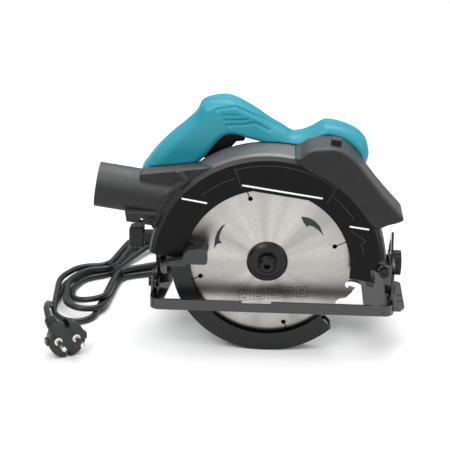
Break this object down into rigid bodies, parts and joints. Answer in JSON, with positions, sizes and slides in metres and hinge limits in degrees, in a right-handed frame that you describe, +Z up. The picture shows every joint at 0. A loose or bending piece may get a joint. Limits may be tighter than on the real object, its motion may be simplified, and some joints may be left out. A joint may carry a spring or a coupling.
{
  "type": "circular saw",
  "caption": "Corded hand circular saw: guarded round blade, D-handle with trigger, side motor, tilting and depth-adjusting shoe, dust port, tied mains lead with round plug.",
  "frame": {"origin": "centre of the saw's bounding box (without its cord, hank and plug), on the plane that the lower guard, hank and plug stand on", "axes": "+X to the front of the saw, +Z up, blade in an XZ plane, motor on the +Y side"},
  "size_m": [0.3697, 0.3063, 0.2518],
  "materials": {
    "guard_black": "semi-gloss black powder coat",
    "hood_grey": "fine moulded texture",
    "alloy": "die cast, satin",
    "teal_plastic": "satin moulded",
    "black_plastic": "satin moulded",
    "lower_guard_grey": "satin dark grey",
    "lever_grey": "satin moulded",
    "blade_steel": "circular brushed",
    "carbide": "ground",
    "dark_steel": "black oxide",
    "bright_steel": "ground",
    "lamination": "stacked sheet",
    "copper": "enamelled wire",
    "carbon": "pressed carbon",
    "shoe_black": "gloss black paint on steel sheet",
    "fan_plastic": "moulded",
    "rubber_black": "satin PVC",
    "plug_brass": "nickel plated"
  },
  "bodies": {
    "saw_body": {"upper_guard": "guard_black", "chip_hood": "hood_grey", "hood_clip": "hood_grey", "dust_port": "hood_grey", "dust_port_screw": "dark_steel", "gear_housing": "alloy", "gear_cover": "alloy", "guard_screws": "dark_steel", "motor_housing": "teal_plastic", "motor_end_cap": "black_plastic", "stator": "lamination", "field_coils": "copper", "brush_holders": "black_plastic", "carbon_brushes": "carbon", "brush_caps": "black_plastic", "spindle_bearings": "bright_steel", "motor_bearings": "bright_steel", "guard_retainer": "alloy", "handle_near": "teal_plastic", "handle_far": "teal_plastic", "switch_block": "black_plastic", "handle_screws": "dark_steel", "guard_bumper": "rubber_black", "guard_spring": "bright_steel", "depth_bolt": "dark_steel", "cord_relief": "rubber_black", "cord_run": "rubber_black", "cord_hank": "rubber_black", "cord_tail": "rubber_black", "plug_body": "rubber_black", "plug_pins": "plug_brass", "plug_relief": "rubber_black"},
    "spindle": {"spindle": "bright_steel", "inner_flange": "dark_steel", "outer_flange": "dark_steel", "blade_bolt": "dark_steel", "saw_blade": "blade_steel", "carbide_tips": "carbide", "drive_gear": "bright_steel"},
    "armature": {"armature_shaft": "bright_steel", "motor_pinion": "bright_steel", "armature_core": "lamination", "commutator": "copper", "cooling_fan": "fan_plastic"},
    "lower_guard": {"lower_guard": "lower_guard_grey", "guard_lever": "lever_grey"},
    "tilt_frame": {"depth_guide": "shoe_black", "tilt_bracket": "shoe_black", "pivot_screw": "dark_steel", "pivot_nut": "dark_steel", "bevel_bolt": "dark_steel"},
    "shoe": {"base_plate": "shoe_black", "bevel_quadrant": "shoe_black", "bevel_rivets": "dark_steel"},
    "bevel_knob": {"bevel_knob": "black_plastic"},
    "depth_lever": {"depth_lever": "black_plastic", "guide_washer": "dark_steel"},
    "trigger": {"trigger": "black_plastic"},
    "lock_off_button": {"lock_off_button": "black_plastic"},
    "spindle_lock": {"spindle_lock_button": "black_plastic"}
  },
  "joints": [
    {"name": "spindle_spin", "type": "hinge", "parent": "saw_body", "child": "spindle", "pos_m": [0.01695, -0.0535, 0.0955], "axis": [0, 1, 0], "continuous": true},
    {"name": "armature_spin", "type": "hinge", "parent": "saw_body", "child": "armature", "pos_m": [-0.00777, 0.0265, 0.12028], "axis": [0, 1, 0], "continuous": true},
    {"name": "lower_guard_swing", "type": "hinge", "parent": "saw_body", "child": "lower_guard", "pos_m": [0.01695, -0.044, 0.0955], "axis": [0, 1, 0], "range_deg": [0, 105], "stiffness_Nm_per_rad": 0.12, "springref_deg": -45.84},
    {"name": "depth_adjust", "type": "hinge", "parent": "saw_body", "child": "tilt_frame", "pos_m": [0.13255, -0.0535, 0.0931], "axis": [0, 1, 0], "range_deg": [-8, 6]},
    {"name": "bevel_tilt", "type": "hinge", "parent": "tilt_frame", "child": "shoe", "pos_m": [0.01695, -0.0495, 0.0675], "axis": [-1, 0, 0], "range_deg": [0, 45]},
    {"name": "bevel_knob_turn", "type": "hinge", "parent": "tilt_frame", "child": "bevel_knob", "pos_m": [0.14695, -0.03351, 0.08951], "axis": [1, 0, 0], "range_deg": [0, 180]},
    {"name": "depth_lever_turn", "type": "hinge", "parent": "saw_body", "child": "depth_lever", "pos_m": [-0.08955, -0.0185, 0.10241], "axis": [0, 1, 0], "range_deg": [0, 55]},
    {"name": "trigger_pull", "type": "slide", "parent": "saw_body", "child": "trigger", "axis": [-0.7364, 0, 0.6765], "range_m": [0, 0.006], "stiffness_N_per_m": 400, "springref_m": -0.004},
    {"name": "lock_off_press", "type": "slide", "parent": "saw_body", "child": "lock_off_button", "axis": [0, -1, 0], "range_m": [0, 0.003], "stiffness_N_per_m": 300, "springref_m": -0.003},
    {"name": "spindle_lock_press", "type": "slide", "parent": "saw_body", "child": "spindle_lock", "axis": [0, -1, 0], "range_m": [0, 0.004], "stiffness_N_per_m": 300, "springref_m": -0.003}
  ],
  "couplings": [
    {"joint": "armature_spin", "follows": "spindle_spin", "ratio": -4.0909}
  ]
}
